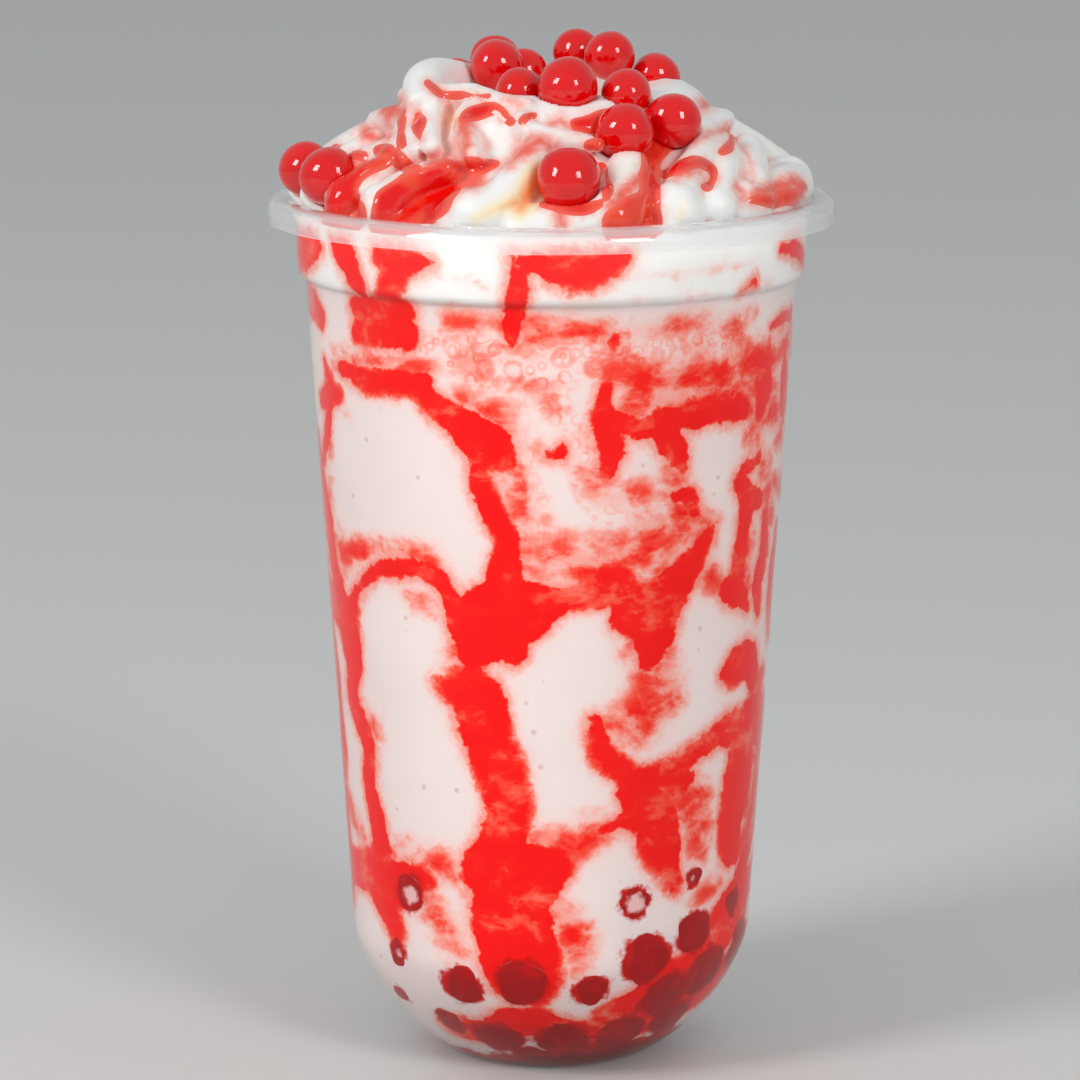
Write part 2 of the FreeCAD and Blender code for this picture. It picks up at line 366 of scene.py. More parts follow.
# Each streak: (degrees round from the front, mm up, half width in mm) along its middle.
STREAKS = [
    # over the collar
    [(-90, 131, 3.6), (-76, 131.2, 3.4), (-64, 133, 1.6)],
    [(-90, 123.6, 2.6), (-78, 123.6, 3.0), (-70, 121.6, 2.0)],
    [(-54, 134.5, 2.4), (-51, 131, 2.3), (-48, 127.8, 1.8)],
    [(-41, 133.4, 1.6), (-34, 132.6, 2.0), (-27, 132.8, 1.0)],
    [(-36, 131, 1.6), (-38.5, 128.2, 2.2)],
    [(-7, 133.8, 1.6), (-1, 133.2, 2.7), (5, 132.6, 3.4), (11, 133, 2.9), (16, 134.4, 1.2)],
    [(-7, 131.5, 2.0), (-8, 127.5, 1.7), (-9, 123.5, 1.5), (-9.5, 120.5, 0.6)],
    [(62, 132.6, 0.5), (69, 132.2, 1.5), (75, 130.8, 1.6), (80, 129, 1.0)],
    [(47, 127.2, 0.4), (51, 128.5, 0.7)],
    # the square patch and the left shoulder
    [(-52, 124.6, 1.8), (-44, 124.2, 2.7), (-36, 124.4, 2.6)],
    [(-50, 121.2, 2.4), (-43, 121.2, 2.9), (-36, 121.4, 2.9)],
    [(-59, 114.2, 1.2), (-50, 113.4, 1.8), (-40, 113.6, 1.9), (-31, 114, 1.6)],
    [(-32, 113.4, 1.4), (-28, 110.4, 2.2), (-22, 107.8, 2.6), (-16, 105, 3.7), (-11.5, 103, 2.2)],
    [(-18, 103, 1.6), (-17, 98.5, 1.5), (-15, 94.5, 2.2), (-12, 91, 1.7), (-10.5, 88, 1.5), (-10, 84, 2.2)],
    [(-74, 107.4, 1.2), (-67, 109, 1.9), (-62.5, 109.4, 1.2)],
    [(-69, 114.5, 0.8), (-66, 110, 1.2), (-70, 104, 1.4), (-76, 98, 1.6)],
    [(-0.6, 103.1, 0.5), (-0.2, 103.4, 0.5)],
    [(2, 103.4, 0.7), (2.6, 104.3, 0.7)],
    # down the left edge
    [(-83, 100, 2.4), (-80, 92, 3.6), (-76, 86, 2.8), (-74, 80, 2.6), (-70, 75.5, 3.8), (-65.5, 71, 4.0),
     (-64, 66, 3.2), (-66, 61, 2.4), (-62, 57, 2.6), (-58, 53, 2.2), (-59.5, 48, 2.0), (-57, 43, 2.1),
     (-55, 37, 2.8)],
    [(-92, 75, 3.4), (-80, 75.4, 3.4), (-70, 73.6, 3.4)],
    [(-92, 31.2, 3.0), (-78, 31.4, 3.2), (-66, 32, 3.6), (-57, 31.6, 4.6), (-49, 32.2, 3.8), (-42, 34, 2.2),
     (-36, 33.5, 0.8)],
    [(-60, 30, 3.0), (-54, 26.4, 2.6), (-50, 24, 1.6)],
    # the arch and the middle mass
    [(-63, 75, 1.8), (-58, 79, 1.4), (-51, 82.4, 1.2), (-43, 83.8, 1.6), (-35, 84.2, 1.6), (-29, 82.8, 1.7),
     (-25.5, 79.2, 1.9), (-23.5, 74.8, 2.1), (-21.5, 71, 1.8)],
    [(-23, 77, 2.8), (-15, 78.4, 5.0), (-8, 78.6, 5.2), (-1, 80, 3.2), (6, 81.2, 2.4), (13, 80.8, 1.9)],
    [(-13, 80, 3.4), (-11.5, 86, 2.6), (-10, 91, 1.4)],
    [(-20, 72, 3.2), (-13, 75.2, 4.4), (-10, 72.5, 2.6)],
    [(-31, 66, 0.8), (-26, 65.2, 2.2), (-20, 65.6, 4.0), (-18.5, 60, 4.4), (-15.5, 55, 3.9), (-12.6, 50, 3.6),
     (-12.4, 45, 3.5), (-14, 40, 4.3)],
    [(-17, 37, 5.2), (-9, 35.5, 6.2), (-3, 37, 4.6)],
    [(-12, 31, 6.2), (-10, 25.5, 6.4), (-8, 20, 6.0)],
    # right of the middle
    [(14.5, 121.5, 0.6), (13.4, 117, 1.1), (12.4, 112, 1.5), (13.2, 107, 2.1), (14.2, 103, 1.9),
     (13, 99.6, 0.9)],
    [(13, 109.6, 1.3), (20, 107.4, 1.7), (26, 107, 2.3), (30, 104, 2.5), (33.5, 100.4, 1.4)],
    [(26, 109, 1.4), (36, 108.2, 2.2), (44, 109.2, 2.8), (53, 108.4, 1.8)],
    [(31, 96, 1.0), (34.5, 96.4, 1.5), (37, 93, 1.0)],
    [(44.5, 91, 0.7), (39, 87, 2.0), (34, 83, 3.4), (29.5, 79.4, 3.8), (27, 74.4, 3.8), (25.5, 70.5, 2.2)],
    [(13, 84, 1.6), (18.5, 83.2, 2.0), (17, 78, 2.0), (21, 76.2, 2.2)],
    [(20, 80.5, 2.4), (27, 80.4, 3.2)],
    [(11.4, 61, 1.0), (13, 57, 2.0), (17.4, 53.4, 2.2), (23.5, 51, 2.3), (30, 51.2, 2.2), (36, 52.4, 2.0),
     (43, 54.4, 1.9), (50, 56.6, 2.0)],
    [(20, 49, 1.6), (26, 48, 4.2), (33, 49, 3.4), (40, 50.4, 1.6)],
    [(27.5, 46, 4.6), (31, 41.4, 3.8), (34, 36.8, 2.8), (36.5, 33, 1.4)],
    [(14, 43.2, 0.8), (20, 44.8, 1.8)],
    # the right edge
    [(57, 115, 2.4), (61, 111.4, 3.0), (60, 107, 1.6)],
    [(63, 120.4, 0.7), (70, 121.2, 1.3), (77, 121, 1.4)],
    [(74, 115, 1.6), (76, 110.6, 2.6), (77, 106, 1.8)],
    [(60.5, 99.6, 1.2), (53, 97.4, 1.6), (57, 94.2, 2.5), (62.5, 93, 1.8)],
    [(56.4, 92, 2.0), (55, 87, 2.1), (54, 82, 2.1), (50, 79.6, 2.1), (56, 78, 2.2), (60, 75.6, 1.0)],
    [(67, 90, 1.0), (68.5, 84, 2.2), (65, 79, 1.9), (67, 74, 1.2)],
    [(72, 94.6, 0.8), (77, 94, 1.4), (86, 92.5, 2.4)],
    [(80, 86, 1.6), (78, 78, 2.4), (80, 70, 2.2)],
    [(51, 66, 1.4), (57, 67, 3.2), (63.5, 67, 3.2), (67, 63, 2.4)],
    [(53, 56.6, 2.6), (62, 56.4, 4.0), (70, 56.6, 4.6), (80, 55, 3.8)],
    [(63, 52, 4.8), (62, 46, 5.0), (60, 41, 4.0), (60.5, 36, 3.0)],
    [(79.5, 50.5, 1.8), (77.5, 44, 2.6), (75.5, 38, 2.8), (72, 33.4, 2.4), (66, 31, 1.8)],
    [(54, 25, 1.8), (62, 28, 3.0), (72, 28.4, 3.4), (84, 29.5, 3.2)],
    # between the sunk pearls
    [(-38, 8, 2.6), (-22, 8.6, 3.4), (-10, 11, 3.6), (2, 10, 3.0), (14, 8.6, 2.4)],
    [(18, 12, 2.2), (30, 15, 3.4), (42, 18, 3.8), (52, 20, 3.4), (62, 23, 3.0), (72, 25, 3.0)],
    [(22, 8, 2.4), (40, 11, 3.6), (60, 14, 4.4), (80, 18, 4.0)],
]

# Pink clouds where the syrup has mixed into the milk, in the same terms.
SMEARS = [
    [(14, 115.4, 3.0), (26, 114.4, 3.6), (40, 114.4, 4.0), (54, 115.6, 4.4), (66, 116.6, 4.0),
     (82, 117, 4.0)],
    [(18, 111, 3.0), (30, 110.6, 4.4), (44, 111, 4.6), (60, 108.4, 5.0), (76, 104, 4.6)],
    [(-62, 115, 2.0), (-46, 116, 2.2), (-30, 116, 2.0)],
    [(-22, 112, 1.6), (-12, 108.6, 2.6), (-8, 104, 2.6)],
    [(-9, 101, 2.4), (-6, 95, 3.0), (-5, 90, 3.0)],
    [(-24, 124, 0.8), (-6, 122.8, 2.4), (14, 122.2, 2.4), (34, 122.6, 2.0), (54, 122.2, 1.6)],
    [(8, 100, 2.0), (15, 96.6, 2.4), (22, 97, 2.0)],
    [(-8, 87.4, 3.4), (2, 87.2, 3.8), (12, 86.8, 4.0), (24, 88, 4.0)],
    [(30, 100, 2.0), (33, 95, 3.2), (37, 90, 4.6), (40, 85, 4.6), (46, 81, 2.0)],
    [(22, 92, 3.0), (30, 88, 4.2), (30, 82, 4.0)],
    [(-74, 85, 3.0), (-64, 84, 3.4), (-54, 85, 2.6), (-42, 86.4, 1.8), (-30, 86, 1.4)],
    [(-37, 80.4, 2.0), (-29, 79.6, 2.4)],
    [(-25, 69, 2.6), (-22, 73, 3.2)],
    [(-56, 57, 2.8), (-61, 60, 1.6)],
    [(-50, 37, 2.4), (-38, 36.6, 2.8), (-26, 37, 3.0)],
    [(-40, 31, 2.0), (-32, 27, 3.0), (-27, 22.6, 2.6)],
    [(-6, 40, 3.4), (4, 41.6, 3.4), (14, 43.6, 3.2), (22, 45, 2.6)],
    [(24, 73, 4.0), (29, 66, 5.2), (23, 60.6, 5.0), (15, 59.4, 2.6)],
    [(36, 48, 5.0), (43, 44.4, 4.4), (44, 38, 3.0)],
    [(-20, 32, 3.0), (-21, 25, 2.2)],
    [(0, 32, 3.6), (5, 27, 3.2), (8, 22, 2.0)],
    [(66, 66, 4.0), (74, 61, 4.0)],
    [(69, 50, 4.0), (68, 43, 4.0), (67, 36, 3.0)],
    [(-92, 100, 6.0), (-84, 90, 5.0), (-86, 82, 4.0)],
    [(-92, 44, 3.4), (-80, 42, 3.0), (-66, 38, 3.0)],
    [(48, 30, 2.0), (56, 32, 2.6)],
    [(-70, 100, 1.6), (-74, 92, 2.0)],
    [(58, 104, 3.0), (64, 98, 3.4), (72, 90, 3.0)],
    [(58, 87, 2.2), (60, 80, 2.4)],
    # faint ones in the collar
    [(18, 131, -1.0), (35, 131, -0.6), (52, 131.5, -0.9)],
    [(-26, 131.4, -1.0), (-14, 129.6, -0.6)],
    [(14, 127.6, -1.2), (40, 127.4, -1.0), (60, 128, -1.2)],
]

# Foam, where small bubbles crowd against the wall.
FOAM = [
    [(-27, 119, 3.6), (-12, 118, 5.0), (4, 119, 5.4), (20, 119, 4.8), (38, 120, 3.6), (50, 120, 2.4)],
    [(-10, 109, 3.0), (-7, 101, 3.6), (-5, 94, 3.6)],
    [(0, 112, 2.4), (8, 106, 2.0), (10, 98, 3.0), (18, 93, 2.6)],
    [(-62, 107.4, 0.8), (-54, 106.4, 1.0)],
]

BACK_STREAMS = 8             # streams down the side that faces away
BACK_MASSES = 4              # broad patches among them, in pairs
BACK_COLLAR = 5              # patches in the collar


def back_streaks(rng):
    """Streams, arches and pools down the far side, of the same make as those in front."""
    streaks, smears = [], []
    middles = [98 + 164 * (k + 0.5) / BACK_STREAMS + rng.uniform(-6, 6) for k in range(BACK_STREAMS)]
    for k, middle in enumerate(middles):
        row, round_at, width = [], middle, rng.uniform(1.0, 2.4)
        top = rng.uniform(96, 134)
        height = top
        while height > 26:
            row.append((round_at, height, width))
            height -= rng.uniform(5, 9)
            round_at += rng.uniform(-6, 6)
            width = min(4.6, max(0.8, width + rng.uniform(-1.1, 1.2)))
        streaks.append(row)
        if k and rng.random() < 0.8:
            level = rng.uniform(70, 100)
            left, right = middles[k - 1], middle
            streaks.append([(left, level - 6, 1.4), (left * 0.7 + right * 0.3, level, 1.3),
                            (left * 0.3 + right * 0.7, level + 1, 1.5), (right, level - 5, 1.8)])
        smears.append([(middle - 8, top - 14, 2.6), (middle, top - 11, 3.2), (middle + 10, top - 15, 2.6)])
        low = rng.uniform(30, 44)
        smears.append([(middle - 7, low, 3.0), (middle + 6, low + 2, 3.4)])
        left_foot, right_foot = 27 + rng.uniform(-2, 2), 28 + rng.uniform(-2, 3)
        streaks.append([(middle - 10, left_foot, 2.2), (middle + 8, right_foot, 2.8)])
    for k in range(BACK_MASSES):
        middle = 105 + 150 * (k + 0.5) / BACK_MASSES + rng.uniform(-8, 8)
        for level in (rng.uniform(72, 88), rng.uniform(34, 58)):
            lean = rng.uniform(-5, 5)
            streaks.append([(middle - 9, level - lean, 2.0), (middle, level, rng.uniform(4.2, 6.0)),
                            (middle + 8, level + lean, 2.6)])
            smears.append([(middle - 12, level + 5, 2.4), (middle + 12, level + 6, 3.6)])
    for _ in range(BACK_COLLAR):
        middle = rng.uniform(105, 255)
        width = rng.uniform(5, 11)
        streaks.append([(middle - width, 131 + rng.uniform(-2, 2), 1.6), (middle + width, 132, 2.4)])
    return streaks, smears


def curve_through(row, parts=7):
    """Smooth points along a given row, passing through each of its points."""
    points = np.array(row, dtype=float)
    if len(points) == 2:
        steps = np.linspace(0, 1, parts + 1)[:, None]
        return points[0] * (1 - steps) + points[1] * steps
    padded = np.vstack([2 * points[0] - points[1], points, 2 * points[-1] - points[-2]])
    steps = np.linspace(0, 1, parts, endpoint=False)[:, None]
    rows = []
    for a, b, c, d in zip(padded, padded[1:], padded[2:], padded[3:]):
        rows.append(0.5 * (2 * b + (c - a) * steps + (2 * a - 5 * b + 4 * c - d) * steps ** 2
                           + (3 * b - a - 3 * c + d) * steps ** 3))
    rows.append(points[-1:])
    return np.vstack(rows)


OUTSIDE = -30.0              # what a field says far outside everything, in mm


def streak_field(co, rows):
    """For each point, how far inside the nearest streak it lies, in mm; negative outside."""
    best = np.full(len(co), OUTSIDE)
    for row in rows:
        line = curve_through(row)
        turn = np.radians(line[:, 0] - 90)
        radius = wall_radius(line[:, 1])
        middle = np.stack([radius * np.cos(turn), radius * np.sin(turn), line[:, 1]], axis=1)
        reach = line[:, 2].max() + 8
        low, high = middle.min(axis=0) - reach, middle.max(axis=0) + reach
        near = np.where(np.all((co > low) & (co < high), axis=1))[0]
        if not len(near):
            continue
        some = co[near]
        for start, end, wide, narrow in zip(middle, middle[1:], line[:, 2], line[1:, 2]):
            along = end - start
            length = max(along @ along, 1e-9)
            share = np.clip((some - start) @ along / length, 0, 1)
            away = np.linalg.norm(some - start - share[:, None] * along, axis=1)
            inside = wide + (narrow - wide) * share - away
            best[near] = np.maximum(best[near], inside)
    return best


UNDER_RIM = 134.8            # the streaks end at this height, where the rim begins


def paint_wall(obj):
    """Give a piece that lies against the wall its syrup and smear fields."""
    co = get_points(obj.data)
    back, back_smears = back_streaks(random.Random(11))
    under_rim = UNDER_RIM - co[:, 2]
    set_attribute(obj.data, "syrup", np.minimum(streak_field(co, STREAKS + back), under_rim))
    set_attribute(obj.data, "smear", streak_field(co, SMEARS + back_smears))
    back_foam = [[(100, 119, 4.0), (140, 118, 5.0), (180, 119, 5.0), (220, 118, 4.0), (250, 119, 3.0)]]
    set_attribute(obj.data, "foam", streak_field(co, FOAM + back_foam))


# ---------------------------------------------------------------- materials

def wall_colours():
    """Node group: the face that lies against the wall, from its syrup, smear and foam fields in mm."""
    tree = bpy.data.node_groups.new("streaked_wall", "ShaderNodeTree")
    kinds = (("Base", "NodeSocketColor"), ("Syrup", "NodeSocketFloat"), ("Smear", "NodeSocketFloat"),
             ("Foam", "NodeSocketFloat"))
    for name, kind in kinds:
        tree.interface.new_socket(name, in_out="INPUT", socket_type=kind)
    tree.interface.new_socket("Color", in_out="OUTPUT", socket_type="NodeSocketColor")
    nodes = Nodes(tree)
    inputs = tree.nodes.new("NodeGroupInput")
    outputs = tree.nodes.new("NodeGroupOutput")
    where = nodes.object_place()
    swirled = nodes.warped(where, 150, 0.0032)
    brushed = nodes.warped(nodes.object_place((0.8, 0.8, 1.2)), 110, 0.005)

    wide = nodes.noise(swirled, 150, 3.0, 0.55)
    fine = nodes.noise(swirled, 560, 5.0, 0.68)
    grain = nodes.noise(where, 1500, 3.0, 0.7)
    softness = nodes.step(nodes.noise(where, 75, 1.0, 0.5), 0.46, 0.6)

    # syrup: crisp in some stretches, soft and grainy in others
    ragged = nodes.plus(nodes.centred(wide, 3.0), nodes.centred(fine, 2.0))
    edge = nodes.plus(inputs.outputs["Syrup"], ragged)
    crisp = nodes.step(nodes.plus(edge, nodes.centred(grain, 0.8)), -0.4, 0.5)
    grainy = nodes.step(nodes.plus(edge, nodes.centred(grain, 1.6)), -2.0, 1.2)
    streak = nodes.plus(nodes.times(grainy, softness), nodes.times(crisp, nodes.minus(1.0, softness)))
    thin = nodes.times(nodes.step(nodes.noise(brushed, 120, 4.0, 0.66), 0.47, 0.68), 0.5)
    streak = nodes.minus(streak, nodes.times(streak, thin))
    halo = nodes.times(nodes.step(nodes.plus(edge, nodes.centred(grain, 2.0)), -3.0, 0.6), 0.36)

    # smears: soft clouds of mixed syrup, brushed sideways, from pale pink to nearly red
    cloud = nodes.plus(nodes.noise(brushed, 190, 4.0, 0.55), nodes.centred(grain, 0.12))
    cloud = nodes.step(cloud, 0.36, 0.68)
    ragged = nodes.plus(nodes.centred(wide, 5.0), nodes.centred(fine, 2.6))
    smear = nodes.step(nodes.plus(inputs.outputs["Smear"], ragged), -3.2, 3.6)
    smear = nodes.times(smear, nodes.math("MULTIPLY_ADD", cloud, 0.62, 0.28))

    # foam: bubbles with darker outlines in a pinker ground
    foam = nodes.step(nodes.plus(inputs.outputs["Foam"], nodes.centred(wide, 5.0)), -2.0, 2.5)
    rings = []
    for scale, size in ((250, 0.46), (480, 0.44)):
        distance, number = nodes.cells(nodes.warped(where, 300, 0.0012), scale)
        own = nodes.times(number, 0.34)
        away = nodes.math("ABSOLUTE", nodes.minus(nodes.plus(distance, own), size + 0.1))
        rings.append(nodes.minus(1.0, nodes.step(away, 0.0, 0.2)))
    ground = nodes.math("MULTIPLY_ADD", cloud, 0.3, 0.08)
    foam = nodes.times(foam, nodes.plus(nodes.times(nodes.largest(*rings), 0.16), ground))

    density = nodes.largest(streak, halo, smear, foam)
    mixed = nodes.ramp(density, (0.0, srgb(255, 240, 236)), (0.3, srgb(255, 178, 164)),
                       (0.55, srgb(255, 96, 74)), (0.8, srgb(255, 28, 12)), (1.0, srgb(253, 0, 0)))
    faint = nodes.math("MULTIPLY", density, 3.4, clamp=True)
    nodes.feed(outputs, "Color", nodes.mix(faint, inputs.outputs["Base"], mixed))
    return tree


def use_wall_group(nodes, tree, base):
    group = nodes.tree.nodes.new("ShaderNodeGroup")
    group.node_tree = tree
    nodes.feed(group, "Base", base)
    for name in ("Syrup", "Smear", "Foam"):
        nodes.feed(group, name, nodes.attribute(name.lower()))
    return group


def drink_material(wall_group):
    """Milk streaked with syrup; deep red syrup lies on the floor of the cup."""
    material, nodes, shader, where = patterned_material("streaked_drink")
    milk = nodes.mix(nodes.noise(where, 60, 2.0), srgb(250, 240, 238), srgb(243, 227, 223))
    distance, number = nodes.cells(where, 270)
    rare = nodes.step(number, 0.6, 0.64)
    speck = nodes.minus(1.0, nodes.step(distance, 0.08, 0.16))
    bubbles = nodes.times(nodes.times(speck, rare), 0.5)
    milk = nodes.mix(bubbles, milk, srgb(214, 170, 160))
    group = use_wall_group(nodes, wall_group, milk)
    ragged = nodes.noise(nodes.warped(where, 200, 0.004), 260, 4.0, 0.65)
    sunk = nodes.plus(nodes.attribute("sunk"), nodes.centred(ragged, 5.0))
    round_pearls = nodes.step(sunk, -0.5, 0.5)
    deep = nodes.mix(nodes.step(sunk, 0.2, 3.0), srgb(214, 0, 4), srgb(150, 0, 6))
    colour = nodes.mix(round_pearls, group.outputs["Color"], deep)
    nodes.feed(shader, "Base_Color", colour)
    set_shader(shader, Roughness=0.4, Specular_IOR_Level=0.1)
    return material


def cream_material(wall_group):
    material, nodes, shader, where = patterned_material("whipped_cream")
    warm = nodes.step(nodes.noise(where, 55, 1.0), 0.5, 0.75)
    cream = nodes.mix(nodes.times(warm, 0.6), srgb(250, 250, 247), srgb(253, 244, 228))
    group = use_wall_group(nodes, wall_group, cream)
    stain = nodes.attribute("stain")
    rough_edge = nodes.noise(nodes.warped(where, 300, 0.003), 500, 3.0, 0.6)
    stain = nodes.plus(stain, nodes.centred(rough_edge, 2.4))
    washed = nodes.times(nodes.step(stain, -1.8, 0.4), 0.75)
    stain = nodes.times(nodes.step(stain, -0.5, 1.4), 0.9)
    # Painted glow: the shadowed grooves are tinted from pale yellow to orange.
    glow = nodes.attribute("warm")
    tinted = nodes.mix(nodes.step(glow, -2.2, 0.0), group.outputs["Color"], srgb(255, 238, 198))
    tinted = nodes.mix(nodes.step(glow, -0.9, 1.4), tinted, srgb(255, 164, 82))
    # Pink tint in the grooves: partly juice gathered there, partly painted shade that brings the grooves out.
    juice_and_shade_in_grooves = nodes.plus(nodes.attribute("groove"), nodes.centred(nodes.noise(where, 130, 3.0), 1.2))
    tinted = nodes.mix(nodes.times(nodes.step(juice_and_shade_in_grooves, 0.1, 0.75), 0.6), tinted, srgb(255, 168, 152))
    tinted = nodes.mix(washed, tinted, srgb(255, 186, 172))
    nodes.feed(shader, "Base_Color", nodes.mix(stain, tinted, srgb(246, 92, 72)))
    nodes.feed(shader, "Normal", nodes.bump(nodes.noise(where, 900, 3.0, 0.6), 0.12, 0.0004))
    set_shader(shader, Roughness=0.38, Specular_IOR_Level=0.4)
    return material


def sauce_material():
    """Thin strawberry sauce: full red where thick, pinker where it runs out."""
    material, nodes, shader, where = patterned_material("strawberry_sauce")
    rim = nodes.step(nodes.attribute("depth"), -0.3, 1.3)
    patchy = nodes.step(nodes.noise(nodes.warped(where, 120, 0.005), 130, 3.0, 0.55), 0.4, 0.6)
    colour = nodes.mix(patchy, srgb(240, 4, 0), srgb(246, 72, 46))
    colour = nodes.mix(rim, srgb(252, 110, 92), colour)
    nodes.feed(shader, "Base_Color", colour)
    nodes.feed(shader, "Normal", nodes.bump(nodes.noise(where, 300, 2.0), 0.15, 0.0006))
    set_shader(shader, Roughness=0.08, Specular_IOR_Level=0.4, Coat_Weight=0.45, Coat_Roughness=0.05)
    return material


def plastic_material(name, clear, rough, shine):
    """See-through plastic that lets the light through to what it holds."""
    material, nodes, shader, where = patterned_material(name, (1, 1, 2.6))
    set_shader(shader, Base_Color=(0.97, 0.975, 0.975, 1), Transmission_Weight=clear, IOR=1.49,
               Specular_IOR_Level=0.5 * shine, Specular_Tint=(shine, shine, shine, 1))
    nodes.feed(shader, "Roughness", nodes.math("MULTIPLY_ADD", nodes.noise(where, 90, 2.0), 0.03, rough))
    tree = material.node_tree
    glow = tree.nodes.new("ShaderNodeBsdfTransparent")
    mix = tree.nodes.new("ShaderNodeMixShader")
    path = tree.nodes.new("ShaderNodeLightPath")
    out = tree.nodes["Material Output"]
    tree.links.new(path.outputs["Is Shadow Ray"], mix.inputs[0])
    tree.links.new(shader.outputs[0], mix.inputs[1])
    tree.links.new(glow.outputs[0], mix.inputs[2])
    tree.links.new(mix.outputs[0], out.inputs["Surface"])
    return material


def pearl_material():
    """Glossy red skin over syrup, a little deeper in places."""
    material, nodes, shader, where = patterned_material("popping_pearl")
    skin = nodes.mix(nodes.noise(where, 200, 2.0), srgb(216, 0, 4), srgb(246, 0, 4))
    nodes.feed(shader, "Base_Color", skin)
    nodes.feed(shader, "Normal", nodes.bump(nodes.noise(where, 330, 2.0), 0.12, 0.0005))
    set_shader(shader, Roughness=0.08, Specular_IOR_Level=0.5, Coat_Weight=0.5, Coat_Roughness=0.05,
               Subsurface_Weight=0.2, Subsurface_Scale=0.002, Subsurface_Radius=(1.0, 0.1, 0.05))
    return material


def sunk_material():
    """Pearls pressed against the wall under the drink, some with milk trapped in front of them."""
    material, nodes, shader, where = patterned_material("sunk_pearl")
    mottle = nodes.noise(nodes.warped(where, 300, 0.003), 420, 4.0, 0.65)
    colour = nodes.mix(nodes.step(mottle, 0.45, 0.75), srgb(176, 0, 4), srgb(212, 0, 6))
    film = nodes.plus(nodes.attribute("film"), nodes.centred(mottle, 1.3))
    colour = nodes.mix(nodes.step(film, -0.1, 0.35), colour, srgb(248, 206, 204))
    nodes.feed(shader, "Base_Color", colour)
    set_shader(shader, Roughness=0.3, Specular_IOR_Level=0.15)
    return material


# ---------------------------------------------------------------- pieces

def make_cup():
    obj = turned("cup", "clear_cup", ROUND_STEPS)
    smooth(obj, 35)
    finish_piece(obj, plastic_material("clear_plastic", 1.0, 0.0, 0.4), "clear_plastic", "cup")
    obj.data.materials.append(plastic_material("milky_rim_plastic", 0.8, 0.04, 1.0))
    for face in obj.data.polygons:
        face.material_index = int(face.center.xy.length > RIM_START * MM)
    return obj


def make_drink(wall_group):
    obj = turned("smoothie", "streaked_smoothie", DRINK_STEPS, DRINK_EDGE)
    choose(obj)
    bpy.ops.object.mode_set(mode="EDIT")
    bpy.ops.mesh.select_all(action="SELECT")
    bpy.ops.transform.shrink_fatten(value=INTO_WALL * MM)
    bpy.ops.object.mode_set(mode="OBJECT")
    smooth(obj, 50)
    paint_wall(obj)
    set_attribute(obj.data, "sunk", sunk_field(get_points(obj.data)))
    finish_piece(obj, drink_material(wall_group), "smoothie", "smoothie")
    return obj


# Pearls that touch the wall under the drink: (degrees round, mm up, radius of what shows, milk in front).
SUNK = [
    (-50, 20.5, 1.7, 0.5), (-43, 31, 2.9, 0.55), (-58, 12.5, 1.6, 0), (24, 31, 2.7, 0.62),
    (43, 33.5, 1.5, 0.4),
    (-27, 17, 3.2, 0), (-9, 18.4, 3.9, 0), (12, 17, 2.7, 0), (28, 21.5, 4.0, 0), (45, 24.6, 3.4, 0),
    (38, 14.5, 4.2, 0), (53, 17, 4.2, 0), (64, 27, 2.4, 0), (-38, 9.6, 2.6, 0), (-20, 7.6, 3.8, 0),
    (4, 7.6, 4.0, 0), (26, 8.2, 3.8, 0), (46, 9.4, 3.6, 0), (72, 19, 3.8, 0), (-78, 8.4, 2.4, 0),
    (-8, 3.8, 3.0, 0), (18, 4.0, 3.0, 0),
]
BACK_PEARLS = 24
SUNK_PROUD = 0.1             # how much nearer the wall than the drink they lie
SUNK_RADIUS = 4.2            # the smallest of them, in mm
SUNK_FLOOR = 1.2             # how low they reach, in mm up


def sunk_pearls():
    """All pearls that show through the wall: those listed, then the far side's."""
    rng = random.Random(17)
    rows = list(SUNK)
    for k in range(BACK_PEARLS):
        rows.append((92 + 176 * (k + 0.5) / BACK_PEARLS + rng.uniform(-4, 4),
                     rng.choice((6.5, 9, 15, 20, 27)) + rng.uniform(-1.5, 2), rng.uniform(2.2, 4.2),
                     rng.choice((0, 0, 0, 0.5))))
    return rows


def on_wall(degrees, height):
    return around(degrees, float(wall_radius(height)), height)


def make_sunk_pearls():
    """Pearls whose flattened faces show against the wall."""
    rng = random.Random(23)
    parts = []
    for degrees, height, shown, milk in sunk_pearls():
        radius = max(SUNK_RADIUS, shown * 1.12)
        slope = (wall_radius(height + 1) - wall_radius(height - 1)) / 2
        inward = around(degrees, -1, 0) + Vector((0, 0, slope))
        inward.normalize()
        centre = on_wall(degrees, height) + inward * math.sqrt(radius ** 2 - shown ** 2)
        obj = ball("sunk_pearl", centre, radius, 48)
        co = get_points(obj.data)
        away = co - np.array(centre)
        phase = rng.uniform(0, 6)
        uneven = 1 + 0.05 * np.sin(away[:, 0] * 1.1 + phase) + 0.06 * np.sin(away[:, 2] * 1.3 + 2 * phase)
        co = np.array(centre) + away * uneven[:, None]
        out = np.hypot(co[:, 0], co[:, 1])
        level = np.maximum(co[:, 2], SUNK_FLOOR)
        limit = wall_radius(level) + INTO_WALL + SUNK_PROUD
        co[:, :2] *= np.minimum(1, limit / np.maximum(out, 0.001))[:, None]
        co[:, 2] = level
        set_points(obj.data, co)
        middle = np.array(on_wall(degrees, height))
        film = milk - np.linalg.norm(co - middle, axis=1) / shown if milk else np.full(len(co), -2.0)
        set_attribute(obj.data, "film", film)
        parts.append(obj)
    obj = join("sunk_pearls", parts)
    smooth(obj, 40)
    finish_piece(obj, sunk_material(), "pearl")
    return obj


